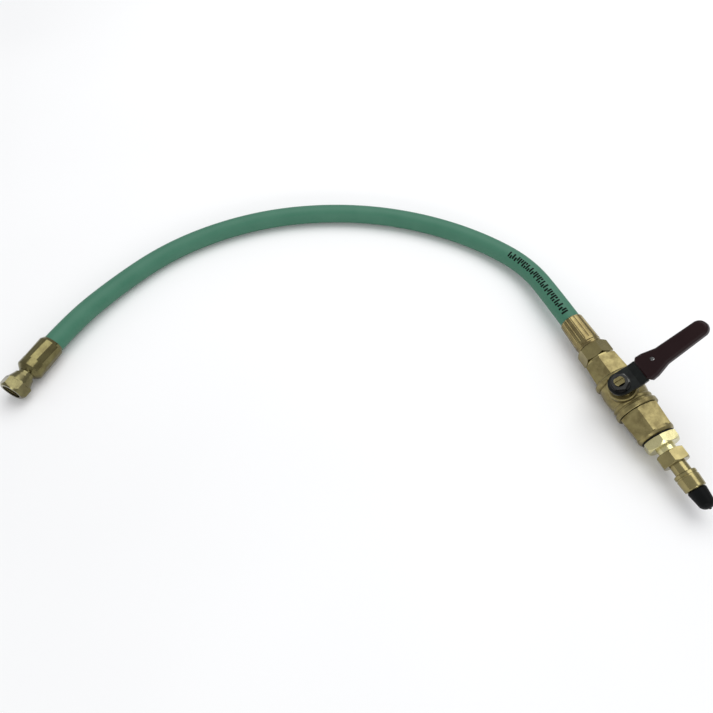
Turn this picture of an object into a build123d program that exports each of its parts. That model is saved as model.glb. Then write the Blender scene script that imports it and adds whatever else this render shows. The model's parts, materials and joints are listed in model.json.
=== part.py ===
"""Dispensing hose with a swivel inlet nut, a lever ball valve and a capped outlet nozzle.

Everything is in millimetres. The valve set is drawn on a bench axis: +X runs from the hose to
the nozzle, the ball is at the origin and the valve stem points along +Z. The set is then
leaned over, as it lies on a table, and the hose is led away from it along the table top.
"""
import os
from math import atan2, cos, degrees, pi, radians, sqrt, tan

from build123d import *

# ---------------------------------------------------------------- driving dimensions
# fits between neighbours
running_gap = 0.06
thread_gap = 0.05
seat_gap = 0.05
loose_gap = 0.3

# hose
hose_outside = 17.5
hose_bore = 9.5
ferrule_wall = 1.3

# ball valve
port_bore = 12.7
ball_diameter = 23.0
ball_clearance = 0.7
seat_thickness = 3.2
seat_setback = 4.5
spigot_wall = 1.3
barrel_wall = 2.9
ring_height = 0.65
pipe_thread = 20.9
body_hex_flats = 27.7
body_hex_end_flats = 25.4
cap_hex_flats = 29.4
cap_hex_end_flats = 27.0
body_end = -33.4
body_hex_shoulder = -15.4
rear_ring_end = -10.7
barrel_end = 8.1
front_ring_end = 11.9
flange_start = 13.3
joint_line = 17.5
cap_end = 41.4
pipe_thread_depth = 16.0

# stem, packing and lever
stem_diameter = 8.0
stem_collar_width = 2.0
packing_wall = 2.9
packing_height = 3.6
gland_wall = 4.0
gland_engagement = 1.4
gland_height = 5.7
boss_wall = 4.3
lever_thickness = 3.0
handle_nut_height = 4.0
lever_hub = 18.3
lever_reach = 70.5
lever_slope = 17.0
arm_width = 12.6
grip_width = 21.2
grip_thickness = 8.0
handle_nut_wall = 2.1
lock_washer_width = 3.3

# hose nipples
tail_bore = 6.8
nipple_hex_flats = 23.5
nipple_roll = 37.0
nipple_collar = 22.5
nipple_collar_width = 1.9
swivel_thread_bore = 14.95
swivel_neck = 13.0
swivel_flats = 20.2
swivel_roll = 8.0
inlet_ferrule_wall = 2.15

# nozzle
bushing_flats = 24.5
bushing_roll = -6.0
bushing_nose = 14.2
nozzle_flats = 20.2
nozzle_tube = 12.6
nozzle_bore = 5.0
spout_diameter = 9.0
collar_diameter = 17.0
cap_diameter = 14.6
cap_length = 15.0

# how the valve lies on the table
valve_lean = 31.5

# ---------------------------------------------------------------- sizes that follow
hose_radius = hose_outside / 2
ferrule_radius = hose_radius + ferrule_wall
inlet_ferrule_radius = hose_radius + inlet_ferrule_wall
stem_radius = stem_diameter / 2
stem_collar = stem_diameter + 2 * stem_collar_width
pipe_radius = pipe_thread / 2
seat_outside = ball_diameter - 1.0
cap_thread = ball_diameter + 2 * (ball_clearance + spigot_wall)
body_barrel = cap_thread + 2 * barrel_wall
ring_radius = body_barrel / 2 + ring_height
axis_height = ring_radius
packing_outside = stem_diameter + 2 * packing_wall
gland_flats = stem_diameter + 2 * gland_wall
handle_nut_flats = stem_diameter + 2 * handle_nut_wall
table_clearance = 0.05
swivel_half_height = swivel_flats / sqrt(3) * cos(radians(swivel_roll))
inlet_height = max(swivel_half_height, inlet_ferrule_radius) + table_clearance
tail_length = 26.0

# hose centreline: chosen points from the valve end to the inlet end, height last
hose_route = [
    (-51.2, 0, axis_height),
    (-101.2, 0, axis_height),
    (-151.2, 1, 12.5),
    (-197.2, -21, 9.2),
    (-237.7, -57, 8.8),
    (-270.2, -101.5, 8.8),
    (-292.7, -150.5, 8.8),
    (-305.7, -204, 8.8),
    (-306.7, -259, 8.8),
    (-296.2, -312, 8.8),
    (-271.2, -362, 9.6),
    (-240.2, -407, inlet_height),
    (-203.6, -443.6, inlet_height),
]

nodes = {}


# ---------------------------------------------------------------- shape helpers
def turned(*outline):
    """Solid of revolution about X from (station, radius) corners."""
    corners = [outline[0]] + [after for before, after in zip(outline, outline[1:]) if after != before]
    return revolve(make_face(Polyline(*corners, close=True)), Axis.X, 360)


def bar(start, end, radius, end_radius=None):
    """Round or tapered bar along X."""
    last = radius if end_radius is None else end_radius
    return turned((start, 0), (start, radius), (end, last), (end, 0))


def tube(start, end, outer, inner):
    return turned((start, inner), (start, outer), (end, outer), (end, inner))


def hexagon(start, end, flats, end_flats=None, roll=0):
    """Hexagonal bar along X, drafted when its ends differ; a corner faces +Z before the roll."""
    length = end - start
    last = flats if end_flats is None else end_flats
    outline = RegularPolygon(flats / 2, 6, major_radius=False)
    end_outline = RegularPolygon(last / 2, 6, major_radius=False)
    solid = loft([outline, Pos(0, 0, length) * end_outline])
    return Pos(start, 0, 0) * Rot(roll, 0, 0) * Rot(0, 90, 0) * solid


def hex_blank(start, end, flats, bevel_start, bevel_end):
    """Turned envelope that takes the corners off a hexagon's ends."""
    corner = flats / sqrt(3) + 0.01
    low = flats / 2 - 0.15
    rise = corner - low
    return turned((start, 0), (start, low if bevel_start else corner),
                  (start + rise * bevel_start, corner), (end - rise * bevel_end, corner),
                  (end, low if bevel_end else corner), (end, 0))


def bead(start, end, root, crown):
    """Rounded ring round the X axis."""
    middle = (start + end) / 2
    side = Polyline((start, root), (start, 0), (end, 0), (end, root))
    top = ThreePointArc((start, root), (middle, crown), (end, root))
    return revolve(make_face([*side.edges(), *top.edges()]), Axis.X, 360)


def upright(bottom, top, radius, end_radius=None):
    """Round or tapered post along Z."""
    height = top - bottom
    last = radius if end_radius is None else end_radius
    if last == radius:
        post = Cylinder(radius, height, align=(Align.CENTER, Align.CENTER, Align.MIN))
    else:
        post = Cone(radius, last, height, align=(Align.CENTER, Align.CENTER, Align.MIN))
    return Pos(0, 0, bottom) * post


def upright_hex(bottom, top, flats):
    """Hexagonal nut blank along Z with its top corners taken off."""
    outline = RegularPolygon(flats / 2, 6, major_radius=False)
    corner = flats / sqrt(3) + 0.01
    rise = (corner - flats / 2) * 0.6
    blank = upright(bottom, top - rise, corner) + upright(top - rise, top, corner, flats / 2 - 0.1)
    return (Pos(0, 0, bottom) * extrude(outline, top - bottom)) & blank


def spun(count, shape):
    """Copies of a shape spread evenly round the X axis."""
    return [Rot(360 / count * index, 0, 0) * shape for index in range(count)]


# ---------------------------------------------------------------- valve body
seat_inner_face = ball_diameter / 2 - seat_setback
seat_outer_face = seat_inner_face + seat_thickness
cavity_radius = ball_diameter / 2 + ball_clearance
seat_pocket_radius = seat_outside / 2 + seat_gap
cap_thread_radius = cap_thread / 2
spigot_face = seat_inner_face + 1.0
seal_thickness = 1.0
collar_bottom = ball_diameter / 2 + 0.1
collar_top = collar_bottom + 1.4
washer_top = collar_top + 0.9
ledge = washer_top + 0.1
packing_bottom = ledge + 1.5
packing_radius = packing_outside / 2
packing_top = packing_bottom + packing_height
gland_bottom = packing_top + 1.0
boss_top = gland_bottom + gland_engagement
boss_radius = packing_radius + boss_wall
lever_seat = boss_top + gland_height
stop_radius = gland_flats / sqrt(3) + 0.3
stop_depth = 2.0
tab_width = 6.0


def stop_lug(turn):
    """Cast lug on the boss that the lever's tab comes up against."""
    centre = stop_radius + stop_depth / 2
    lug = Pos(0, centre, boss_top + 1.2) * Box(3.2, stop_depth, 3.4)
    offset = tab_width / 2 + loose_gap + 1.6
    return Rot(0, 0, turn) * Pos(offset if turn == 0 else -offset, 0, 0) * lug


def valve_body():
    hex_end = hexagon(body_end, body_hex_shoulder, body_hex_end_flats, body_hex_flats)
    hex_end &= hex_blank(body_end, body_hex_shoulder + 2, body_hex_flats, 0.6, 0)
    root = body_barrel / 2 - 1.2
    solid = hex_end + bead(body_hex_shoulder - 0.4, rear_ring_end + 0.1, root + 0.2, ring_radius)
    solid += bead(rear_ring_end - 0.1, barrel_end + 0.1, root, body_barrel / 2)
    solid += bead(barrel_end - 0.1, front_ring_end + 0.1, root - 0.2, ring_radius - 1.0)
    solid += bar(front_ring_end - 0.1, flange_start + 0.1, root)
    flange = chamfer(bar(flange_start, joint_line, ring_radius).edges(), 0.5)
    solid += flange
    boss = upright(9.0, boss_top - 1.0, boss_radius) + upright(boss_top - 1.0, boss_top, boss_radius,
                                                              boss_radius - 0.8)
    solid += boss
    for turn in (0, 90):
        solid += stop_lug(turn) & upright(boss_top - 1, boss_top + 3, boss_radius + 0.4)
    thread_end = body_end + pipe_thread_depth
    hollow = bar(body_end - 1, thread_end, pipe_radius + thread_gap)
    hollow += bar(body_end - 1, -spigot_face, port_bore / 2)
    hollow += bar(-seat_outer_face, -seat_inner_face + 0.1, seat_pocket_radius)
    hollow += bar(-seat_inner_face, spigot_face, cavity_radius)
    hollow += bar(seat_inner_face, joint_line + 1, cap_thread_radius + thread_gap)
    hollow += upright(5.0, ledge, stem_collar / 2 + loose_gap)
    hollow += upright(ledge - 1, packing_bottom + 1, stem_radius + running_gap)
    hollow += upright(packing_bottom, boss_top + 5, packing_radius)
    hollow += upright(gland_bottom, boss_top + 5, packing_radius + 0.6)
    return solid - hollow


def body_cap():
    hex_end = hexagon(joint_line + 0.3, cap_end - 3.2, cap_hex_flats, cap_hex_end_flats)
    hex_end &= hex_blank(joint_line, cap_end - 3.2, cap_hex_flats, 0.5, 0)
    nose_radius = cap_hex_end_flats / 2 + 1.0
    nose_outline = [(cap_end - 4.4, 0), (cap_end - 4.4, nose_radius), (cap_end - 2.2, nose_radius),
                    (cap_end - 0.6, nose_radius - 0.7), (cap_end, nose_radius - 1.8), (cap_end, 0)]
    solid = hex_end + turned(*nose_outline)
    solid += bar(spigot_face, joint_line + 1.0, cap_thread_radius)
    pocket_end = seat_outer_face
    hollow = bar(spigot_face - 1, pocket_end, seat_pocket_radius)
    hollow += bar(spigot_face, cap_end, port_bore / 2)
    hollow += bar(cap_end - pipe_thread_depth, cap_end + 1, pipe_radius + thread_gap)
    return solid - hollow


def body_seal():
    """PTFE ring squeezed between the body's step and the cap's spigot."""
    return tube(spigot_face - seal_thickness, spigot_face, cap_thread_radius, cavity_radius + 0.4)


def seat(side):
    """PTFE seat ring with a spherical face for the ball."""
    sphere = ball_diameter / 2 + seat_gap
    bore = port_bore / 2 + 0.3
    lip = sqrt(sphere ** 2 - seat_inner_face ** 2)
    throat = sqrt(sphere ** 2 - bore ** 2)
    middle = (seat_inner_face + throat) / 2
    side_line = Polyline((seat_inner_face, lip), (seat_inner_face, seat_outside / 2),
                         (seat_outer_face, seat_outside / 2), (seat_outer_face, bore), (throat, bore))
    contact = ThreePointArc((throat, bore), (middle, sqrt(sphere ** 2 - middle ** 2)),
                            (seat_inner_face, lip))
    ring = revolve(make_face([*side_line.edges(), *contact.edges()]), Axis.X, 360)
    return ring if side > 0 else Rot(0, 0, 180) * ring


def packing_ring():
    return (upright(packing_bottom, packing_top, packing_radius - 0.02)
            - upright(0, packing_top + 1, stem_radius + running_gap))


def packing_washer():
    return (upright(packing_top, gland_bottom, packing_radius - 0.02)
            - upright(0, gland_bottom + 1, stem_radius + running_gap + 0.03))


def packing_nut():
    hex_bottom = boss_top + 0.4
    solid = upright(gland_bottom, hex_bottom + 1, packing_radius + 0.6 - thread_gap)
    solid += upright_hex(hex_bottom, lever_seat - 1.0, gland_flats)
    return solid - upright(0, lever_seat, stem_radius + running_gap + 0.03)


# ---------------------------------------------------------------- ball, stem and lever
slot_width = 4.2
tang_depth = 3.2


def ball():
    """Ball in the closed position: its port lies across the flow."""
    radius = ball_diameter / 2
    solid = Sphere(radius) - Rot(90, 0, 0) * Cylinder(port_bore / 2, ball_diameter + 2)
    slot_floor = radius - tang_depth - 0.1
    return solid - Pos(0, 0, slot_floor + 5) * Box(ball_diameter, slot_width, 10)


def flat_sided(shape, flats):
    """Two flats on an upright shaft, square to X."""
    return shape & Box(flats, 60, 200)


stem_flats = stem_diameter - 2.0
washer_thickness = 1.5
lever_top = lever_seat + lever_thickness
stem_top = lever_top + washer_thickness + handle_nut_height + 2.0


def stem():
    tang_bottom = ball_diameter / 2 - tang_depth
    tang = Pos(0, 0, (tang_bottom + collar_bottom + 0.2) / 2) * Box(
        9.0, slot_width - 2 * seat_gap, collar_bottom + 0.2 - tang_bottom)
    solid = tang & upright(0, collar_bottom + 1, stem_collar / 2)
    solid += upright(collar_bottom, collar_top, stem_collar / 2)
    solid += upright(collar_bottom, lever_seat, stem_radius)
    head = upright(lever_seat - 0.5, stem_top - 0.6, stem_radius - 0.05)
    head += upright(stem_top - 0.6, stem_top, stem_radius - 0.05, stem_radius - 0.7)
    solid += flat_sided(head, stem_flats)
    return solid - Pos(0, 0, stem_top) * Box(1.4, 12, 2.4)


def thrust_washer():
    return (upright(collar_top, washer_top, stem_collar / 2)
            - upright(0, washer_top + 1, stem_radius + seat_gap))


arm_start = lever_hub / 2 + 2.5
arm_length = (lever_reach - arm_start) / cos(radians(lever_slope))
grip_start = 6.6


def on_arm(shape):
    """Place a shape drawn from the arm's root, X sideways and Y outwards, on the sloped arm."""
    return Pos(0, arm_start, lever_seat) * Rot(lever_slope, 0, 0) * shape


def arm_blank(width_root, width_end, start, end, gap=0.0):
    """Flat bar of the lever's thickness along Y, grown by a gap all round."""
    outline = Polyline((-width_root / 2 - gap, start - gap), (-width_end / 2 - gap, end + gap),
                       (width_end / 2 + gap, end + gap), (width_root / 2 + gap, start - gap), close=True)
    return Pos(0, 0, -gap) * extrude(make_face(outline), lever_thickness + 2 * gap)


def arm_plates(gap=0.0):
    """Sloped arm: as wide as the hub up to the grip and slimmer inside it."""
    wide = arm_blank(lever_hub, lever_hub, -0.3, grip_start, gap)
    return wide + arm_blank(arm_width, arm_width - 4, grip_start - 0.5, arm_length - 6.0, gap)


hang_hole = 3.2
hang_hole_station = 18.6
hang_hole_side = -1.6


def lever():
    """Pressed steel plate: hub, sloped arm and, under the arm's root, a tab that meets the stops."""
    plate = upright(lever_seat, lever_top, lever_hub / 2)
    neck = Pos(0, arm_start / 2 + 0.3, lever_seat + lever_thickness / 2) * Box(
        lever_hub, arm_start + 0.6, lever_thickness)
    arm = on_arm(arm_plates())
    tab_centre = stop_radius + stop_depth / 2
    tab_bottom = boss_top + 0.8
    tab = Pos(0, tab_centre, (tab_bottom + lever_top) / 2) * Box(tab_width, stop_depth,
                                                                 lever_top - tab_bottom)
    solid = plate + neck + arm + tab
    stem_hole = flat_sided(upright(0, lever_top + 1, stem_radius + seat_gap - 0.05),
                           stem_flats + 2 * seat_gap)
    hole = on_arm(Pos(hang_hole_side, hang_hole_station, 0) * Cylinder(hang_hole / 2, 40))
    return solid - stem_hole - hole


def lever_grip():
    """Dipped vinyl sleeve: flared at its mouth, then slim, with a round end."""
    half = grip_width / 2
    waist = arm_width / 2 + 0.9
    tip = waist - 1.1
    end = arm_length
    edge = [(grip_start, half - 2.6), (grip_start + 2.6, half), (grip_start + 7.5, half - 0.4),
            (grip_start + 18, waist), (end - 6.5, tip)]
    right = Polyline(*[(side, station) for station, side in edge])
    left = Polyline(*[(-side, station) for station, side in edge])
    nose = ThreePointArc((tip, end - 6.5), (0, end), (-tip, end - 6.5))
    mouth = Line((-(half - 2.6), grip_start), (half - 2.6, grip_start))
    outline = make_face([*right.edges(), *left.edges(), *nose.edges(), *mouth.edges()])
    base = lever_thickness / 2 - grip_thickness / 2
    solid = Pos(0, 0, base) * extrude(outline, grip_thickness)
    rims = solid.edges().filter_by(Axis.Z, reverse=True)
    solid = fillet(rims, grip_thickness * 0.3)
    hole = Pos(hang_hole_side, hang_hole_station, 0) * Cylinder(hang_hole / 2, 40)
    return on_arm(solid - arm_plates(0.02) - hole)


def lock_washer():
    """Split spring washer."""
    ring = (upright(lever_top, lever_top + washer_thickness, stem_radius + lock_washer_width)
            - upright(0, lever_top + 4, stem_radius + 0.15))
    return ring - Pos(5, 0, lever_top) * Rot(0, 0, 12) * Box(6, 1.0, 6)


def lever_nut():
    bottom = lever_top + washer_thickness
    return (upright_hex(bottom, stem_top - 2.0, handle_nut_flats)
            - upright(0, stem_top, stem_radius))


# ---------------------------------------------------------------- hose ends
def hose_tail(start, direction):
    """Barbed nipple tail along X from its root, as outline corners outwards."""
    root_radius = hose_bore / 2
    corners = [(start, root_radius)]
    barb = tail_length / 5
    for index in range(1, 5):
        station = start + direction * barb * index
        corners += [(station, root_radius - 0.35), (station, root_radius + 0.1)]
    tip = start + direction * tail_length
    corners += [(tip - direction * 1.5, root_radius - 0.2), (tip, root_radius - 0.8)]
    return corners


ferrule_mouth = -78.2
ferrule_back = -48.7
hose_end = hose_route[0][0]
ferrule_ribs = 18


def outlet_ferrule():
    """Crimped ferrule with lengthwise ribs, a little wider at its closed end."""
    solid = turned((ferrule_mouth, 0), (ferrule_mouth, ferrule_radius - 0.7),
                   (ferrule_mouth + 0.8, ferrule_radius - 0.1), (ferrule_back - 3.4, ferrule_radius + 0.7),
                   (ferrule_back - 2.8, ferrule_radius + 0.1), (ferrule_back - 1.8, ferrule_radius + 0.1),
                   (ferrule_back - 1.4, ferrule_radius + 0.5), (ferrule_back, ferrule_radius + 0.2),
                   (ferrule_back, 0))
    length = ferrule_back - 4.6 - ferrule_mouth
    groove = (Pos(ferrule_mouth - 1, 0, ferrule_radius + 0.05) * Rot(0, 90 - 1.8, 0)
              * Cylinder(0.75, length, align=(Align.CENTER, Align.CENTER, Align.MIN)))
    for cut in spun(ferrule_ribs, groove):
        solid -= cut
    solid -= bar(ferrule_mouth - 1, hose_end, hose_radius)
    return solid - bar(hose_end - 1, ferrule_back + 1, swivel_neck / 2)


def outlet_nipple():
    """Hose tail, hexagon, round collar and pipe thread in one piece."""
    hex_start = ferrule_back + 0.9
    hex_end = body_end - nipple_collar_width - loose_gap
    outline = [(hose_end - tail_length, 0)] + list(reversed(hose_tail(hose_end, -1)))
    outline += [(hose_end, swivel_neck / 2), (hex_start + 1, swivel_neck / 2), (hex_start + 1, 0)]
    solid = turned(*outline)
    solid += hexagon(hex_start, hex_end, nipple_hex_flats, roll=nipple_roll) & hex_blank(
        hex_start, hex_end, nipple_hex_flats, 0.7, 0.5)
    solid += bar(hex_end - 0.5, body_end - loose_gap, nipple_collar / 2)
    solid += bar(hex_end - 1, body_end + pipe_thread_depth - 2.5, pipe_radius)
    return solid - bar(hose_end - tail_length - 1, body_end + pipe_thread_depth, tail_bore / 2)


def hose():
    """Rubber hose: straight runs joined by the widest tangent arcs they allow."""
    points = [Vector(*point) for point in hose_route]
    radii = []
    for before, corner, after in zip(points, points[1:], points[2:]):
        arriving = corner - before
        leaving = after - corner
        half_turn = radians(arriving.get_angle(leaving) / 2)
        radii.append(0.45 * min(arriving.length, leaving.length) / tan(half_turn))
    print("hose bend radii, mm:", [round(radius) for radius in radii])
    path = FilletPolyline(*points, radius=radii)
    start = Plane(points[0], z_dir=points[1] - points[0])
    section = start * (Circle(hose_radius) - Circle(hose_bore / 2))
    solid = sweep(section, path=path)
    area = pi * (hose_radius ** 2 - hose_bore ** 2 / 4)
    print("hose length, mm:", round(path.length, 1), "volume share:",
          round(solid.volume / (area * path.length), 4))
    return solid


# ---------------------------------------------------------------- inlet fitting
# drawn with its hose end at the origin and +X towards the open end of the nut
inlet_back = 2.6
inlet_mouth = -30.0
flats_end = -8.0
nut_back = 5.7
nut_hex_back = 13.5
nut_hex_front = 19.3
nut_face = 21.9
nut_shoulder = 10.8
thread_inner_end = 16.2
inlet_flats = 12


def inlet_ferrule():
    """Crimped ferrule: bevelled mouth, pressed flats and a sloping back shoulder."""
    radius = inlet_ferrule_radius
    solid = turned((inlet_mouth, 0), (inlet_mouth, hose_radius + 0.5), (inlet_mouth + 2.6, radius - 0.3),
                   (flats_end + 1, radius - 0.1), (-1.4, radius), (-0.4, radius - 0.3),
                   (inlet_back, swivel_neck / 2 + 0.8), (inlet_back, 0))
    outline = RegularPolygon(radius - 0.4, inlet_flats, major_radius=False)
    crimp_length = flats_end - inlet_mouth - 1.2
    crimped = Pos(inlet_mouth + 1.2, 0, 0) * Rot(0, 90, 0) * extrude(outline, crimp_length)
    band = bar(inlet_mouth + 1.2, flats_end, radius + 3)
    solid -= band - crimped
    solid -= bar(inlet_mouth - 1, 0, hose_radius)
    return solid - bar(-1, inlet_back + 1, swivel_neck / 2)


head_back = nut_shoulder + 0.3
head_front = 14.6
head_radius = swivel_thread_bore / 2 - 0.1


def inlet_nipple():
    """Hose tail, neck for the swivel nut and a flat-faced head inside the nut."""
    outline = [(-tail_length, 0)] + list(reversed(hose_tail(0, -1)))
    outline += [(0, swivel_neck / 2), (head_back, swivel_neck / 2), (head_back, head_radius),
                (head_front, head_radius), (head_front, 0)]
    return turned(*outline) - bar(-tail_length - 1, head_front + 1, tail_bore / 2)


def inlet_seal():
    return tube(head_front, head_front + 1.4, head_radius, tail_bore / 2 + 0.4)


def swivel_nut():
    """Loose nut that turns on the inlet nipple's neck."""
    corner = swivel_flats / sqrt(3)
    solid = hexagon(nut_hex_back - 1, nut_face, swivel_flats, roll=swivel_roll) & turned(
        (nut_hex_back - 1, 0), (nut_hex_back - 1, corner - 0.6), (nut_hex_back, corner),
        (nut_hex_front, corner), (nut_face, swivel_flats / 2 - 0.7), (nut_face, 0))
    solid += turned((nut_back, 0), (nut_back, swivel_neck / 2 + 1.3), (nut_back + 1.2, swivel_neck / 2 + 1.5),
                    (nut_hex_back, corner - 1.2), (nut_hex_back, 0))
    solid -= bar(nut_back - 1, nut_shoulder + 1, swivel_neck / 2 + running_gap)
    solid -= bar(nut_shoulder, thread_inner_end, swivel_thread_bore / 2 + 0.35)
    return solid - bar(thread_inner_end - 1, nut_face + 1, swivel_thread_bore / 2)


# ---------------------------------------------------------------- outlet nozzle
washer_end = cap_end + 1.0
bushing_hex_end = washer_end + 7.6
nozzle_hex_start = bushing_hex_end + 4.9
nozzle_hex_end = nozzle_hex_start + 9.8
nose_end = nozzle_hex_start + 6.5
collar_start = nozzle_hex_end + 8.1
collar_end = collar_start + 13.1
spout_end = collar_end + 11.0
ring_station = collar_end + 4.0


def bushing_washer():
    return tube(cap_end, washer_end, bushing_flats / 2 + 0.6, pipe_radius + 0.2)


def bushing():
    """Hexagon bushing from the valve's pipe thread down to the nozzle's."""
    solid = hexagon(washer_end, bushing_hex_end, bushing_flats, roll=bushing_roll) & hex_blank(
        washer_end, bushing_hex_end, bushing_flats, 0.3, 1.2)
    solid += bar(cap_end - pipe_thread_depth + 2.5, washer_end + 1, pipe_radius)
    solid += bar(bushing_hex_end - 1, nose_end, bushing_nose / 2)
    return solid - bar(cap_end - pipe_thread_depth, nose_end + 1, tail_bore / 2)


def nozzle_body():
    """Nozzle with a hexagon that screws on the bushing, a tube and a spout."""
    solid = hexagon(nozzle_hex_start, nozzle_hex_end, nozzle_flats) & hex_blank(
        nozzle_hex_start, nozzle_hex_end, nozzle_flats, 0.6, 0.8)
    solid += bar(nozzle_hex_end - 1, collar_end, nozzle_tube / 2)
    solid += turned((collar_end - 1, 0), (collar_end - 1, spout_diameter / 2),
                    (spout_end - 0.8, spout_diameter / 2), (spout_end, spout_diameter / 2 - 0.8),
                    (spout_end, 0))
    solid -= tube(ring_station, ring_station + 1.8, spout_diameter / 2 + 1, spout_diameter / 2 - 1.0)
    solid -= bar(nozzle_hex_start - 1, nose_end + 1.0, bushing_nose / 2 + thread_gap)
    return solid - bar(nozzle_hex_start, spout_end + 1, nozzle_bore / 2)


def nozzle_collar():
    """Stepped sleeve on the nozzle tube."""
    radius = collar_diameter / 2
    solid = turned((collar_start, 0), (collar_start, radius - 0.4), (collar_start + 0.4, radius),
                   (collar_start + 2.6, radius), (collar_start + 2.8, radius - 0.45),
                   (collar_start + 3.8, radius - 0.45), (collar_start + 4.0, radius),
                   (collar_end - 0.6, radius - 0.5), (collar_end, radius - 1.0), (collar_end, 0))
    return solid - bar(collar_start - 1, collar_end + 1, nozzle_tube / 2)


def spout_ring():
    """O-ring in the spout's groove."""
    section_radius = 0.72
    return Pos(ring_station + 0.9, 0, 0) * Rot(0, 90, 0) * Torus(
        spout_diameter / 2 - 1.0 + section_radius + 0.02, section_radius)


def outlet_cap():
    """Rubber cap pushed over the spout, with a moulding nib on its rounded end."""
    start = collar_end + loose_gap
    end = start + cap_length
    wide = cap_diameter / 2
    side = Polyline((end - 3.2, wide - 1.5), (start + 1.0, wide - 0.15), (start, wide - 0.8), (start, 0),
                    (end, 0))
    dome = ThreePointArc((end, 0), (end - 0.75, wide - 3.6), (end - 3.2, wide - 1.5))
    solid = revolve(make_face([*side.edges(), *dome.edges()]), Axis.X, 360)
    solid += bar(end - 1, end + 0.7, 1.1, 0.8)
    return solid - bar(start - 1, spout_end + 0.8, spout_diameter / 2 + 0.55)


# ---------------------------------------------------------------- assembly
def rest_valve(shape):
    """Lean a bench shape over and lift it onto the table."""
    return Pos(0, 0, axis_height) * Rot(valve_lean, 0, 0) * shape


def rest_inlet(shape):
    """Put an inlet shape at the hose's far end, in line with the last run."""
    end = Vector(*hose_route[-1])
    along = end - Vector(*hose_route[-2])
    return Pos(*end) * Rot(0, 0, degrees(atan2(along.Y, along.X))) * shape


valve_parts = {
    "outlet_ferrule": outlet_ferrule(),
    "outlet_nipple": outlet_nipple(),
    "valve_body": valve_body(),
    "body_cap": body_cap(),
    "body_seal": body_seal(),
    "inlet_seat": seat(-1),
    "outlet_seat": seat(1),
    "packing_ring": packing_ring(),
    "packing_washer": packing_washer(),
    "packing_nut": packing_nut(),
    "ball": ball(),
    "stem": stem(),
    "thrust_washer": thrust_washer(),
    "lever": lever(),
    "lever_grip": lever_grip(),
    "lock_washer": lock_washer(),
    "lever_nut": lever_nut(),
    "bushing_washer": bushing_washer(),
    "bushing": bushing(),
    "nozzle_body": nozzle_body(),
    "nozzle_collar": nozzle_collar(),
    "spout_ring": spout_ring(),
    "outlet_cap": outlet_cap(),
}
inlet_parts = {
    "inlet_ferrule": inlet_ferrule(),
    "inlet_nipple": inlet_nipple(),
    "inlet_seal": inlet_seal(),
    "swivel_nut": swivel_nut(),
}

for name, shape in valve_parts.items():
    nodes[name] = rest_valve(shape)
box = Compound([solid for shape in nodes.values() for solid in shape.solids()]).bounding_box()
origin = Pos(-(box.min.X + box.max.X) / 2, -(box.min.Y + box.max.Y) / 2, -box.min.Z)
for name, shape in inlet_parts.items():
    nodes[name] = rest_inlet(shape)
nodes["hose"] = hose()

os.makedirs("parts", exist_ok=True)
for name, shape in nodes.items():
    export_step(origin * shape, f"parts/{name}.step")
print("origin moved by", [round(value, 3) for value in origin.position])
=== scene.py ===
"""Looks for a dispensing hose: rubber hose, brass ball valve, vinyl-gripped lever, capped nozzle."""
import json
import math

import bmesh
import bpy
from mathutils import Matrix, Vector


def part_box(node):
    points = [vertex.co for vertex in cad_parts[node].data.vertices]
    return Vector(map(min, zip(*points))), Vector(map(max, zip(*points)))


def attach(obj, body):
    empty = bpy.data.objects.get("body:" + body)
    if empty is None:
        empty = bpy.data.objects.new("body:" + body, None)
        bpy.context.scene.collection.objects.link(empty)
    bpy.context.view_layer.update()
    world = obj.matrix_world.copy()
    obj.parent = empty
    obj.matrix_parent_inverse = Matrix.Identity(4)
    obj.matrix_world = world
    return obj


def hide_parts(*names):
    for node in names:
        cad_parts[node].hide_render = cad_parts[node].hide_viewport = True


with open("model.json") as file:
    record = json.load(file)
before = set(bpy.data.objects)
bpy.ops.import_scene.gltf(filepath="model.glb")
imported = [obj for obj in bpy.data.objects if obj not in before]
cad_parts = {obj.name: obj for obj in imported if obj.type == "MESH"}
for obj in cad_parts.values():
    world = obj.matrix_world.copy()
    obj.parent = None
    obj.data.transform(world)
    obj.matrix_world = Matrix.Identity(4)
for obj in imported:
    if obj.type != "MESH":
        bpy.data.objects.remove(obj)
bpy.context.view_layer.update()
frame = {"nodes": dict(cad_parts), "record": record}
nodes = frame["nodes"]
record = frame["record"]
MM = 0.001

# ---------------------------------------------------------------- places taken from the frame
ferrule_low, ferrule_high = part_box("outlet_ferrule")
FERRULE_MOUTH = -78.2
valve_axis = Vector((ferrule_low.x - FERRULE_MOUTH * MM,
                     (ferrule_low.y + ferrule_high.y) / 2,
                     (ferrule_low.z + ferrule_high.z) / 2))
bench_origin = Vector((valve_axis.x, valve_axis.y, 0.0))

# ---------------------------------------------------------------- camera
CAMERA_AZIMUTH = math.radians(68.3)
CAMERA_ELEVATION = math.radians(56.3)
CAMERA_FROM_VALVE = Vector((0.1450, -0.2893, 0.4335))
LENS_SHARE = 600 / 713


def make_camera():
    data = bpy.data.cameras.new("camera")
    camera = bpy.data.objects.new("camera", data)
    bpy.context.scene.collection.objects.link(camera)
    data.lens = data.sensor_width * LENS_SHARE
    data.clip_start = 0.01
    data.clip_end = 20
    level = math.cos(CAMERA_ELEVATION)
    back = Vector((math.sin(CAMERA_AZIMUTH) * level, -math.cos(CAMERA_AZIMUTH) * level,
                   math.sin(CAMERA_ELEVATION)))
    camera.location = bench_origin + CAMERA_FROM_VALVE
    camera.rotation_mode = "QUATERNION"
    camera.rotation_quaternion = (-back).to_track_quat("-Z", "Y")
    bpy.context.scene.camera = camera


make_camera()

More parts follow.
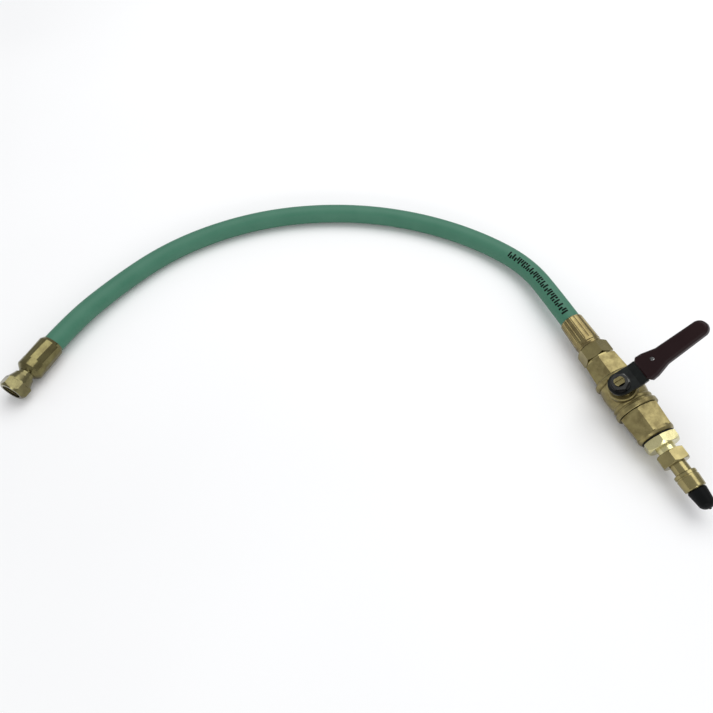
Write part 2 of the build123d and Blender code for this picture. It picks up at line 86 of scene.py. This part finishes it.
# ---------------------------------------------------------------- hose route, in metres
HOSE_DIAMETER = 0.0175
HOSE_BORE = 0.0095
HOSE_SIDES = 64
CURVE_STEPS = 24
AXIS_HEIGHT = valve_axis.z
seal_low, seal_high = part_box("inlet_seal")
INLET_HEIGHT = (seal_low.z + seal_high.z) / 2
HOSE_ROUTE = [
    (-0.0512, 0.0, AXIS_HEIGHT),
    (-0.1012, 0.0, AXIS_HEIGHT),
    (-0.1512, 0.001, 0.0125),
    (-0.1972, -0.021, 0.0092),
    (-0.2377, -0.057, 0.0088),
    (-0.2702, -0.1015, 0.0088),
    (-0.2927, -0.1505, 0.0088),
    (-0.3057, -0.204, 0.0088),
    (-0.3067, -0.259, 0.0088),
    (-0.2962, -0.312, 0.0088),
    (-0.2712, -0.362, 0.0096),
    (-0.2402, -0.407, INLET_HEIGHT),
    (-0.2036, -0.4436, INLET_HEIGHT),
]


def new_object(name, mesh):
    piece = bpy.data.objects.new(name, mesh)
    bpy.context.scene.collection.objects.link(piece)
    return piece


def mesh_from(name, points, faces, smooth=True):
    mesh = bpy.data.meshes.new(name)
    mesh.from_pydata([tuple(point) for point in points], [], faces)
    work = bmesh.new()
    work.from_mesh(mesh)
    bmesh.ops.recalc_face_normals(work, faces=work.faces)
    work.to_mesh(mesh)
    work.free()
    for polygon in mesh.polygons:
        polygon.use_smooth = smooth
    return mesh


def smooth_line(points, name):
    """Points along a clamped NURBS spline whose control points are given."""
    data = bpy.data.curves.new(name, "CURVE")
    data.dimensions = "3D"
    data.resolution_u = CURVE_STEPS
    spline = data.splines.new("NURBS")
    spline.points.add(len(points) - 1)
    for control, point in zip(spline.points, points):
        control.co = (*point, 1.0)
    spline.order_u = 3
    spline.use_endpoint_u = True
    carrier = bpy.data.objects.new(name, data)
    bpy.context.scene.collection.objects.link(carrier)
    bpy.context.view_layer.update()
    curved = carrier.evaluated_get(bpy.context.evaluated_depsgraph_get())
    line = bpy.data.meshes.new_from_object(curved)
    result = [vertex.co.copy() for vertex in line.vertices]
    bpy.data.meshes.remove(line)
    bpy.data.objects.remove(carrier)
    return result


def travelled(line):
    """Distance along a line at each of its points."""
    lengths = [0.0]
    for before, after in zip(line, line[1:]):
        lengths.append(lengths[-1] + (after - before).length)
    return lengths


def line_frames(line):
    """Direction, level side and lifted side at each point of a line that lies near the table."""
    frames = []
    for index in range(len(line)):
        before = line[max(index - 1, 0)]
        after = line[min(index + 1, len(line) - 1)]
        along = (after - before).normalized()
        side = along.cross(Vector((0, 0, 1))).normalized()
        frames.append((along, side, side.cross(along)))
    return frames


def around(centre, side, lift, radius, angle):
    return centre + (side * math.sin(angle) + lift * math.cos(angle)) * radius


def tube_mesh(name, line, radius, bore, sides):
    """Thick-walled tube with a UV map: U runs round it and V along it, both in metres."""
    frames = line_frames(line)
    lengths = travelled(line)
    points = []
    for wall in (radius, bore):
        for centre, (_, side, lift) in zip(line, frames):
            points += [around(centre, side, lift, wall, math.tau * turn / sides) for turn in range(sides)]
    rings = len(line)
    faces = []
    for wall in range(2):
        for ring in range(rings - 1):
            for turn in range(sides):
                corner = (wall * rings + ring) * sides
                step = (turn + 1) % sides
                faces.append((corner + turn, corner + step, corner + sides + step, corner + sides + turn))
    for ring in (0, rings - 1):
        for turn in range(sides):
            step = (turn + 1) % sides
            outer = ring * sides
            inner = (rings + ring) * sides
            faces.append((outer + turn, outer + step, inner + step, inner + turn))
    mesh = mesh_from(name, points, faces)
    layer = mesh.uv_layers.new(name="UVMap")
    for polygon in mesh.polygons:
        turns = [mesh.loops[index].vertex_index % sides for index in polygon.loop_indices]
        wraps = max(turns) - min(turns) > sides / 2
        for index, turn in zip(polygon.loop_indices, turns):
            ring = mesh.loops[index].vertex_index // sides % rings
            share = turn / sides + (1 if wraps and turn < sides / 2 else 0)
            layer.data[index].uv = (share * math.tau * radius, lengths[ring])
    return mesh


route = [bench_origin + Vector(point) for point in HOSE_ROUTE]
hose_line = smooth_line(route, "hose_route")
hose_mesh = tube_mesh("green_hose", hose_line, HOSE_DIAMETER / 2, HOSE_BORE / 2, HOSE_SIDES)
hose = new_object("green_hose", hose_mesh)
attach(hose, "hose_and_valve")
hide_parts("hose")


# ---------------------------------------------------------------- geometry node building blocks
class Shape:
    """Geometry node tree that ends in Realize Instances and Set Material."""

    def __init__(self, name, inputs):
        self.tree = bpy.data.node_groups.new(name, "GeometryNodeTree")
        face = self.tree.interface
        face.new_socket("Geometry", in_out="INPUT", socket_type="NodeSocketGeometry")
        for label, default in inputs.items():
            kind = "NodeSocketInt" if isinstance(default, int) else "NodeSocketFloat"
            face.new_socket(label, in_out="INPUT", socket_type=kind).default_value = default
        face.new_socket("Material", in_out="INPUT", socket_type="NodeSocketMaterial")
        face.new_socket("Geometry", in_out="OUTPUT", socket_type="NodeSocketGeometry")
        self.start = self.tree.nodes.new("NodeGroupInput").outputs
        self.end = self.tree.nodes.new("NodeGroupOutput")

    def add(self, kind, feeds=(), **settings):
        """New node; feeds are (input name or index, value or output socket) pairs."""
        node = self.tree.nodes.new(kind)
        for name, value in settings.items():
            setattr(node, name, value)
        for key, value in feeds:
            if isinstance(value, bpy.types.NodeSocket):
                self.tree.links.new(value, node.inputs[key])
            else:
                node.inputs[key].default_value = value
        return node

    def math(self, operation, first, second):
        return self.add("ShaderNodeMath", ((0, first), (1, second)), operation=operation).outputs[0]

    def close(self, geometry):
        whole = self.add("GeometryNodeRealizeInstances", ((0, geometry),)).outputs[0]
        worn = self.add("GeometryNodeSetMaterial",
                        (("Geometry", whole), ("Material", self.start["Material"])))
        self.tree.links.new(worn.outputs[0], self.end.inputs[0])

    def make(self, name, material, seed_mesh, **values):
        """Run the tree on a mesh and keep the result as a plain mesh object."""
        carrier = new_object(name + "_carrier", seed_mesh)
        modifier = carrier.modifiers.new(name, "NODES")
        modifier.node_group = self.tree
        for item in self.tree.interface.items_tree:
            label = item.name.replace(" ", "_")
            if item.in_out == "INPUT" and item.name == "Material":
                modifier[item.identifier] = material
            elif item.in_out == "INPUT" and label in values:
                modifier[item.identifier] = values[label]
        bpy.context.view_layer.update()
        result = carrier.evaluated_get(bpy.context.evaluated_depsgraph_get())
        mesh = bpy.data.meshes.new_from_object(result)
        bpy.data.objects.remove(carrier)
        mesh.name = name
        return new_object(name, mesh)


def plain_material(name):
    return bpy.data.materials.new(name)


# ---------------------------------------------------------------- printed bars on the hose
PRINT_FROM = 0.0365
PRINT_MARKS = 11
PRINT_PITCH = 0.0078
PRINT_ANGLE = math.radians(-30)
INK = 0.00012
# Each mark is three or four bars: start and end across the hose, place along it, and width.
MARKS = [
    [(-0.0031, 0.0029, -0.0026, 0.0017),
     (-0.0012, 0.0031, -0.0002, 0.0016),
     (-0.0030, 0.0008, 0.0022, 0.0017)],
    [(-0.0022, 0.0031, -0.0025, 0.0017),
     (-0.0031, 0.0002, 0.0000, 0.0016),
     (-0.0026, 0.0030, 0.0024, 0.0016)],
    [(-0.0030, -0.0004, -0.0026, 0.0016),
     (0.0008, 0.0030, -0.0024, 0.0018),
     (-0.0030, 0.0030, 0.0000, 0.0017),
     (-0.0008, 0.0028, 0.0025, 0.0016)],
]
BAR_ARC_POINTS = 9


def print_tree():
    """Rows of ink bars bent round the hose, set along its centreline."""
    shape = Shape("printed_marks", {"From": 0.0, "To": 0.1, "Count": 10, "Radius": 0.00875, "Angle": -0.5,
                                    "Ink": 0.00005})
    start = shape.start
    curve = shape.add("GeometryNodeMeshToCurve", ((0, start["Geometry"]),)).outputs[0]
    part = shape.add("GeometryNodeTrimCurve", (("Curve", curve), (4, start["From"]), (5, start["To"])),
                     mode="LENGTH").outputs[0]
    level = shape.add("GeometryNodeSetCurveNormal", (("Curve", part),), mode="Z_UP").outputs[0]
    points = shape.add("GeometryNodeCurveToPoints",
                       (("Curve", level), ("Count", start["Count"])), mode="COUNT")
    variants = shape.add("GeometryNodeJoinGeometry")
    for bars in reversed(MARKS):
        mark = shape.add("GeometryNodeJoinGeometry")
        for across_from, across_to, along, width in bars:
            first = shape.math("DIVIDE", across_from, start["Radius"])
            first = shape.math("ADD", shape.math("ADD", first, start["Angle"]), -math.pi / 2)
            sweep = shape.math("DIVIDE", across_to - across_from, start["Radius"])
            arc = shape.add("GeometryNodeCurveArc", (
                ("Resolution", BAR_ARC_POINTS), ("Radius", start["Radius"]),
                ("Start Angle", first), ("Sweep Angle", sweep)), mode="RADIUS").outputs[0]
            arc = shape.add("GeometryNodeSetCurveNormal", (("Curve", arc),), mode="Z_UP").outputs[0]
            profile = shape.add("GeometryNodeCurvePrimitiveQuadrilateral",
                                ((0, start["Ink"]), (1, width))).outputs[0]
            bar = shape.add("GeometryNodeCurveToMesh", (
                ("Curve", arc), ("Profile Curve", profile), ("Fill Caps", True))).outputs[0]
            placed = shape.add("GeometryNodeTransform",
                               (("Geometry", bar), ("Translation", (0, 0, along)))).outputs[0]
            shape.tree.links.new(placed, mark.inputs[0])
        held = shape.add("GeometryNodeGeometryToInstance", ((0, mark.outputs[0]),)).outputs[0]
        shape.tree.links.new(held, variants.inputs[0])
    index = shape.add("GeometryNodeInputIndex").outputs[0]
    choice = shape.math("MODULO", index, float(len(MARKS)))
    placed = shape.add("GeometryNodeInstanceOnPoints", (
        ("Points", points.outputs["Points"]), ("Instance", variants.outputs[0]), ("Pick Instance", True),
        ("Instance Index", choice), ("Rotation", points.outputs["Rotation"])))
    shape.close(placed.outputs[0])
    return shape


def path_mesh(name, line):
    """Loose edges along a line, or one loose point, for a tree to start from."""
    mesh = bpy.data.meshes.new(name)
    steps = [(index, index + 1) for index in range(len(line) - 1)]
    mesh.from_pydata([tuple(point) for point in line], steps, [])
    return mesh


ink = plain_material("print_ink")
hose_print = print_tree().make(
    "hose_print", ink, path_mesh("hose_path", hose_line), From=PRINT_FROM,
    To=PRINT_FROM + PRINT_PITCH * (PRINT_MARKS - 1), Count=PRINT_MARKS, Radius=HOSE_DIAMETER / 2,
    Angle=PRINT_ANGLE, Ink=INK)
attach(hose_print, "hose_and_valve")

# ---------------------------------------------------------------- thread turns inside the swivel nut
thread = next(mount for mount in record["mounts"] if mount["name"] == "inlet_thread")
THREAD_PITCH = 0.00134
THREAD_RADIUS = thread["dims"]["r_mm"] * MM
THREAD_LENGTH = thread["dims"]["length_mm"] * MM
THREAD_RIDGE = 0.00030
THREAD_STEPS_A_TURN = 48
RIDGE_SIDES = 6


def thread_tree():
    """Ridge that winds round a bore."""
    shape = Shape("thread_turns", {"Turns": 4.0, "Radius": 0.0075, "Height": 0.005, "Ridge": 0.0003})
    start = shape.start
    coil = shape.add("GeometryNodeCurveSpiral", (
        ("Resolution", THREAD_STEPS_A_TURN), ("Rotations", start["Turns"]), ("Start Radius", start["Radius"]),
        ("End Radius", start["Radius"]), ("Height", start["Height"])))
    level = shape.add("GeometryNodeSetCurveNormal", (("Curve", coil.outputs[0]),), mode="Z_UP").outputs[0]
    profile = shape.add("GeometryNodeCurvePrimitiveCircle", (
        ("Resolution", RIDGE_SIDES), ("Radius", start["Ridge"])), mode="RADIUS").outputs[0]
    ridge = shape.add("GeometryNodeCurveToMesh", (
        ("Curve", level), ("Profile Curve", profile), ("Fill Caps", True))).outputs[0]
    shape.close(ridge)
    return shape


nut_brass = plain_material("nut_brass")
turns = math.floor((THREAD_LENGTH - 4 * THREAD_RIDGE) / THREAD_PITCH)
nut_thread = thread_tree().make(
    "nut_thread", nut_brass, path_mesh("thread_seed", [Vector((0, 0, 0))]), Turns=float(turns),
    Radius=THREAD_RADIUS, Height=turns * THREAD_PITCH, Ridge=THREAD_RIDGE)
thread_turn = Vector(thread["axis"]).to_track_quat("Z", "Y").to_matrix().to_4x4()
nut_thread.data.transform(Matrix.Translation(Vector(thread["pos_m"])) @ thread_turn
                          @ Matrix.Translation((0, 0, -turns * THREAD_PITCH / 2)))
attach(nut_thread, "inlet_nut")


# ---------------------------------------------------------------- material building blocks
class Tree:
    """Short way to add and join shader nodes."""

    def __init__(self, tree):
        self.nodes = tree.nodes
        self.links = tree.links

    def add(self, kind, **settings):
        node = self.nodes.new("ShaderNode" + kind)
        for name, value in settings.items():
            setattr(node, name, value)
        return node

    def feed(self, node, **inputs):
        """Set or link inputs by name, with underscores for spaces."""
        for name, value in inputs.items():
            socket = node.inputs[name.replace("_", " ")]
            if isinstance(value, bpy.types.NodeSocket):
                self.links.new(value, socket)
            else:
                socket.default_value = value
        return node

    def math(self, operation, first, second=None, third=None, clamp=False):
        node = self.add("Math", operation=operation, use_clamp=clamp)
        for index, value in enumerate((first, second, third)):
            if isinstance(value, bpy.types.NodeSocket):
                self.links.new(value, node.inputs[index])
            elif value is not None:
                node.inputs[index].default_value = value
        return node.outputs[0]

    def span(self, value, low, high, to_low=0.0, to_high=1.0):
        node = self.add("MapRange", clamp=True)
        for index, item in enumerate((value, low, high, to_low, to_high)):
            if isinstance(item, bpy.types.NodeSocket):
                self.links.new(item, node.inputs[index])
            else:
                node.inputs[index].default_value = item
        return node.outputs[0]

    def mix(self, share, first, second, blend="MIX"):
        node = self.add("Mix", data_type="RGBA", blend_type=blend)
        for index, value in ((0, share), (6, first), (7, second)):
            if isinstance(value, bpy.types.NodeSocket):
                self.links.new(value, node.inputs[index])
            elif index == 0:
                node.inputs[index].default_value = value
            else:
                node.inputs[index].default_value = (*value[:3], 1.0)
        return node.outputs[2]

    def noise(self, vector, scale, detail=3.0, roughness=0.5):
        node = self.add("TexNoise")
        self.feed(node, Vector=vector, Scale=scale, Detail=detail, Roughness=roughness)
        return node.outputs["Fac"]


def shader_group(name, inputs, outputs):
    """Node group with named sockets: inputs map to defaults, outputs to socket kinds."""
    tree = bpy.data.node_groups.new(name, "ShaderNodeTree")
    for label, default in inputs.items():
        kind = "NodeSocketColor" if isinstance(default, tuple) else "NodeSocketFloat"
        socket = tree.interface.new_socket(label, in_out="INPUT", socket_type=kind)
        socket.default_value = (*default, 1.0) if isinstance(default, tuple) else default
    for label, kind in outputs.items():
        tree.interface.new_socket(label, in_out="OUTPUT", socket_type=kind)
    return tree, Tree(tree), (tree.nodes.new("NodeGroupInput"), tree.nodes.new("NodeGroupOutput"))


def tarnish_group():
    """Cloudy tarnish, small dark stains and fine scratches for bare metal."""
    tree, build, (start, end) = shader_group(
        "metal_tarnish",
        {"Clean": (0.6, 0.5, 0.25), "Tarnished": (0.3, 0.22, 0.1), "Amount": 0.5, "Patch scale": 120.0,
         "Smooth": 0.25, "Rough": 0.5, "Grain scale": 2500.0},
        {"Color": "NodeSocketColor", "Roughness": "NodeSocketFloat", "Height": "NodeSocketFloat"})
    place = build.add("TexCoord").outputs["Object"]
    patches = build.noise(place, start.outputs["Patch scale"], 5.0, 0.6)
    amount = start.outputs["Amount"]
    cover = build.math("MULTIPLY", build.span(patches, 0.35, 0.65), amount)
    stains = build.span(build.noise(place, 900.0, 3.0), 0.60, 0.74)
    cover = build.math("ADD", cover, build.math("MULTIPLY", stains, build.math("MULTIPLY", amount, 0.5)),
                       clamp=True)
    grain = build.noise(place, start.outputs["Grain scale"], 2.0)
    colour = build.mix(cover, start.outputs["Clean"], start.outputs["Tarnished"])
    rough = build.span(build.math("ADD", cover, build.math("MULTIPLY", grain, 0.35)), 0.1, 1.2,
                       start.outputs["Smooth"], start.outputs["Rough"])
    stretch = build.add("Mapping")
    build.feed(stretch, Vector=place, Rotation=(0.5, 0.3, 0.8), Scale=(300.0, 4200.0, 2600.0))
    scratches = build.span(build.noise(stretch.outputs[0], 1.0, 1.0), 0.66, 0.72)
    height = build.math("SUBTRACT", build.math("MULTIPLY", grain, 0.4),
                        build.math("MULTIPLY", scratches, 0.6))
    build.links.new(colour, end.inputs["Color"])
    build.links.new(rough, end.inputs["Roughness"])
    build.links.new(height, end.inputs["Height"])
    return tree


def turning_group():
    """Fine lathe rings across a turned part's axis, which is the direction given."""
    tree, build, (start, end) = shader_group(
        "turning_rings",
        {"Axis X": 1.0, "Axis Y": 0.0, "Pitch per metre": 5200.0},
        {"Height": "NodeSocketFloat"})
    place = build.add("TexCoord").outputs["Object"]
    split = build.add("SeparateXYZ")
    build.feed(split, Vector=place)
    along = build.math("ADD", build.math("MULTIPLY", split.outputs[0], start.outputs["Axis X"]),
                       build.math("MULTIPLY", split.outputs[1], start.outputs["Axis Y"]))
    turns = build.math("MULTIPLY", along, start.outputs["Pitch per metre"])
    wander = build.math("MULTIPLY", build.noise(place, 400.0, 2.0), 5.0)
    rings = build.math("SINE", build.math("ADD", turns, wander))
    build.links.new(rings, end.inputs["Height"])
    return tree


def rubber_group():
    """Moulded rubber: cloudy tone, faint dust and a fine tooth."""
    tree, build, (start, end) = shader_group(
        "rubber_skin",
        {"Base": (0.05, 0.05, 0.05), "Dusty": (0.1, 0.1, 0.1), "Dust": 0.3, "Smooth": 0.4, "Rough": 0.6},
        {"Color": "NodeSocketColor", "Roughness": "NodeSocketFloat", "Height": "NodeSocketFloat"})
    place = build.add("TexCoord").outputs["Object"]
    clouds = build.span(build.noise(place, 45.0, 4.0), 0.35, 0.7)
    specks = build.span(build.noise(place, 1600.0, 2.0), 0.62, 0.72)
    dust = build.math("MULTIPLY", build.math("ADD", clouds, build.math("MULTIPLY", specks, 0.6)),
                      start.outputs["Dust"], clamp=True)
    tooth = build.noise(place, 3500.0, 2.0)
    build.links.new(build.mix(dust, start.outputs["Base"], start.outputs["Dusty"]), end.inputs["Color"])
    build.links.new(build.span(build.math("ADD", dust, build.math("MULTIPLY", tooth, 0.3)), 0.0, 0.9,
                               start.outputs["Smooth"], start.outputs["Rough"]), end.inputs["Roughness"])
    build.links.new(tooth, end.inputs["Height"])
    return tree


TARNISH = tarnish_group()
TURNING = turning_group()
RUBBER = rubber_group()


def new_material(name):
    material = bpy.data.materials.get(name) or bpy.data.materials.new(name)
    material.use_nodes = True
    material.node_tree.nodes.clear()
    build = Tree(material.node_tree)
    surface = build.add("BsdfPrincipled")
    output = build.add("OutputMaterial")
    build.links.new(surface.outputs[0], output.inputs["Surface"])
    return material, build, surface


def use_group(build, tree, **inputs):
    node = build.add("Group", node_tree=tree)
    return build.feed(node, **inputs)


def bump(build, surface, height, strength, distance):
    node = build.add("Bump")
    build.feed(node, Height=height, Strength=strength, Distance=distance)
    build.links.new(node.outputs[0], surface.inputs["Normal"])


def metal(name, clean, tarnished, amount, smooth, rough, patch=120.0, rings=0.0, axis=(1.0, 0.0),
          bumpiness=0.25):
    """Bare or plated metal with tarnish, and lathe rings where rings is above zero."""
    material, build, surface = new_material(name)
    skin = use_group(build, TARNISH, Clean=(*clean, 1), Tarnished=(*tarnished, 1), Amount=amount,
                     Patch_scale=patch, Smooth=smooth, Rough=rough)
    surface.inputs["Metallic"].default_value = 1.0
    build.links.new(skin.outputs["Color"], surface.inputs["Base Color"])
    build.links.new(skin.outputs["Roughness"], surface.inputs["Roughness"])
    height = skin.outputs["Height"]
    if rings:
        turned = use_group(build, TURNING, Axis_X=axis[0], Axis_Y=axis[1])
        height = build.math("ADD", height, build.math("MULTIPLY", turned.outputs["Height"], rings))
    bump(build, surface, height, bumpiness, 0.00004)
    return material


def rubber(name, base, dusty, dust, smooth, rough, bumpiness=0.3, shine=0.5):
    material, build, surface = new_material(name)
    surface.inputs["Specular IOR Level"].default_value = shine
    skin = use_group(build, RUBBER, Base=(*base, 1), Dusty=(*dusty, 1), Dust=dust, Smooth=smooth, Rough=rough)
    build.links.new(skin.outputs["Color"], surface.inputs["Base Color"])
    build.links.new(skin.outputs["Roughness"], surface.inputs["Roughness"])
    bump(build, surface, skin.outputs["Height"], bumpiness, 0.00005)
    return material


INLET_AXIS = (math.sqrt(0.5), -math.sqrt(0.5))
# Metals: clean colour, tarnished colour, share of tarnish, roughness where clean and where tarnished.
# Rubbers and plastics: colour, dusty colour, share of dust, roughness where smooth and where dusty.
finishes = {
    "hose_rubber": rubber("hose_rubber", (0.040, 0.156, 0.096), (0.075, 0.205, 0.137),
                          0.35, 0.48, 0.66, shine=0.35),
    "forged_brass": metal("forged_brass", (0.29, 0.245, 0.110), (0.125, 0.097, 0.042),
                          0.65, 0.28, 0.48, patch=160.0, bumpiness=0.5),
    "turned_brass": metal("turned_brass", (0.32, 0.272, 0.124), (0.15, 0.122, 0.055),
                          0.5, 0.14, 0.30, rings=0.10),
    "inlet_brass": metal("inlet_brass", (0.205, 0.185, 0.088), (0.095, 0.08, 0.04),
                         0.6, 0.16, 0.32, rings=0.10, axis=INLET_AXIS),
    "nut_brass": metal("nut_brass", (0.26, 0.24, 0.11), (0.12, 0.10, 0.05), 0.6, 0.2, 0.4),
    "inlet_ferrule_brass": metal("inlet_ferrule_brass", (0.185, 0.165, 0.072), (0.08, 0.065, 0.03),
                                 0.6, 0.14, 0.28, bumpiness=0.2),
    "ferrule_brass": metal("ferrule_brass", (0.26, 0.214, 0.098), (0.12, 0.085, 0.036),
                           0.5, 0.16, 0.32, bumpiness=0.2),
    "bright_brass": metal("bright_brass", (0.66, 0.61, 0.33), (0.42, 0.365, 0.16),
                          0.4, 0.18, 0.34, rings=0.06),
    "ball_chrome": metal("ball_chrome", (0.75, 0.76, 0.78), (0.6, 0.6, 0.6), 0.2, 0.05, 0.12),
    "dark_steel": metal("dark_steel", (0.028, 0.031, 0.029), (0.012, 0.012, 0.013), 0.6, 0.30, 0.48),
    "plated_steel": metal("plated_steel", (0.085, 0.085, 0.080), (0.020, 0.018, 0.020), 0.6, 0.14, 0.34),
    "ptfe": rubber("ptfe", (0.82, 0.82, 0.79), (0.7, 0.69, 0.64), 0.2, 0.4, 0.55),
    "grip_vinyl": rubber("grip_vinyl", (0.011, 0.0025, 0.003), (0.022, 0.008, 0.008),
                         0.25, 0.38, 0.52, shine=0.18),
    "black_rubber": rubber("black_rubber", (0.002, 0.0025, 0.0025), (0.006, 0.006, 0.007),
                           0.25, 0.42, 0.58, shine=0.1),
    "print_ink": rubber("print_ink", (0.001, 0.002, 0.0015), (0.006, 0.010, 0.008),
                        0.3, 0.55, 0.75, shine=0.1),
    "fibre": rubber("fibre", (0.28, 0.11, 0.07), (0.35, 0.2, 0.14), 0.4, 0.6, 0.8),
}


def wear(piece, finish):
    piece.data.materials.clear()
    piece.data.materials.append(finishes[finish])


for row in record["subparts"]:
    wear(nodes[row["node"]], row["material_slot"])
for name in ("swivel_nut", "inlet_nipple"):
    wear(nodes[name], "inlet_brass")
wear(nodes["inlet_ferrule"], "inlet_ferrule_brass")
wear(hose, "hose_rubber")


# ---------------------------------------------------------------- floor and light
FLOOR_HALF = 3.0
FLOOR_DROP = 0.0002
FLOOR_TONES = (0.90, 0.93)


def make_floor():
    corners = [(x * FLOOR_HALF, y * FLOOR_HALF, -FLOOR_DROP) for x, y in ((-1, -1), (1, -1), (1, 1), (-1, 1))]
    mesh = mesh_from("floor", corners, [(0, 1, 2, 3)])
    floor = new_object("floor", mesh)
    material, build, surface = new_material("pale_floor")
    tone = build.noise(build.add("TexCoord").outputs["Object"], 3.0, 2.0)
    darker, lighter = ((grey, grey, grey) for grey in FLOOR_TONES)
    build.links.new(build.mix(build.span(tone, 0.3, 0.7), darker, lighter), surface.inputs["Base Color"])
    surface.inputs["Roughness"].default_value = 0.9
    mesh.materials.append(material)


def softbox(name, place, aim, size, power):
    data = bpy.data.lights.new(name, "AREA")
    data.shape = "RECTANGLE"
    data.size, data.size_y = size
    data.energy = power
    lamp = bpy.data.objects.new(name, data)
    lamp.location = place
    lamp.rotation_mode = "QUATERNION"
    lamp.rotation_quaternion = (Vector(aim) - Vector(place)).to_track_quat("-Z", "Y")
    bpy.context.scene.collection.objects.link(lamp)


make_floor()
middle = Vector((-0.12, -0.15, 0.0))
softbox("overhead", middle + Vector((-0.45, 0.40, 1.2)), middle, (1.6, 1.2), 12)
softbox("low_front", middle + Vector((1.24, -0.56, 0.62)), middle, (2.0, 0.25), 6)
world = bpy.data.worlds.new("studio")
world.use_nodes = True
world.node_tree.nodes["Background"].inputs["Color"].default_value = (0.97, 0.98, 1.0, 1)
world.node_tree.nodes["Background"].inputs["Strength"].default_value = 0.60
bpy.context.scene.world = world
bpy.context.scene.view_settings.view_transform = "Standard"
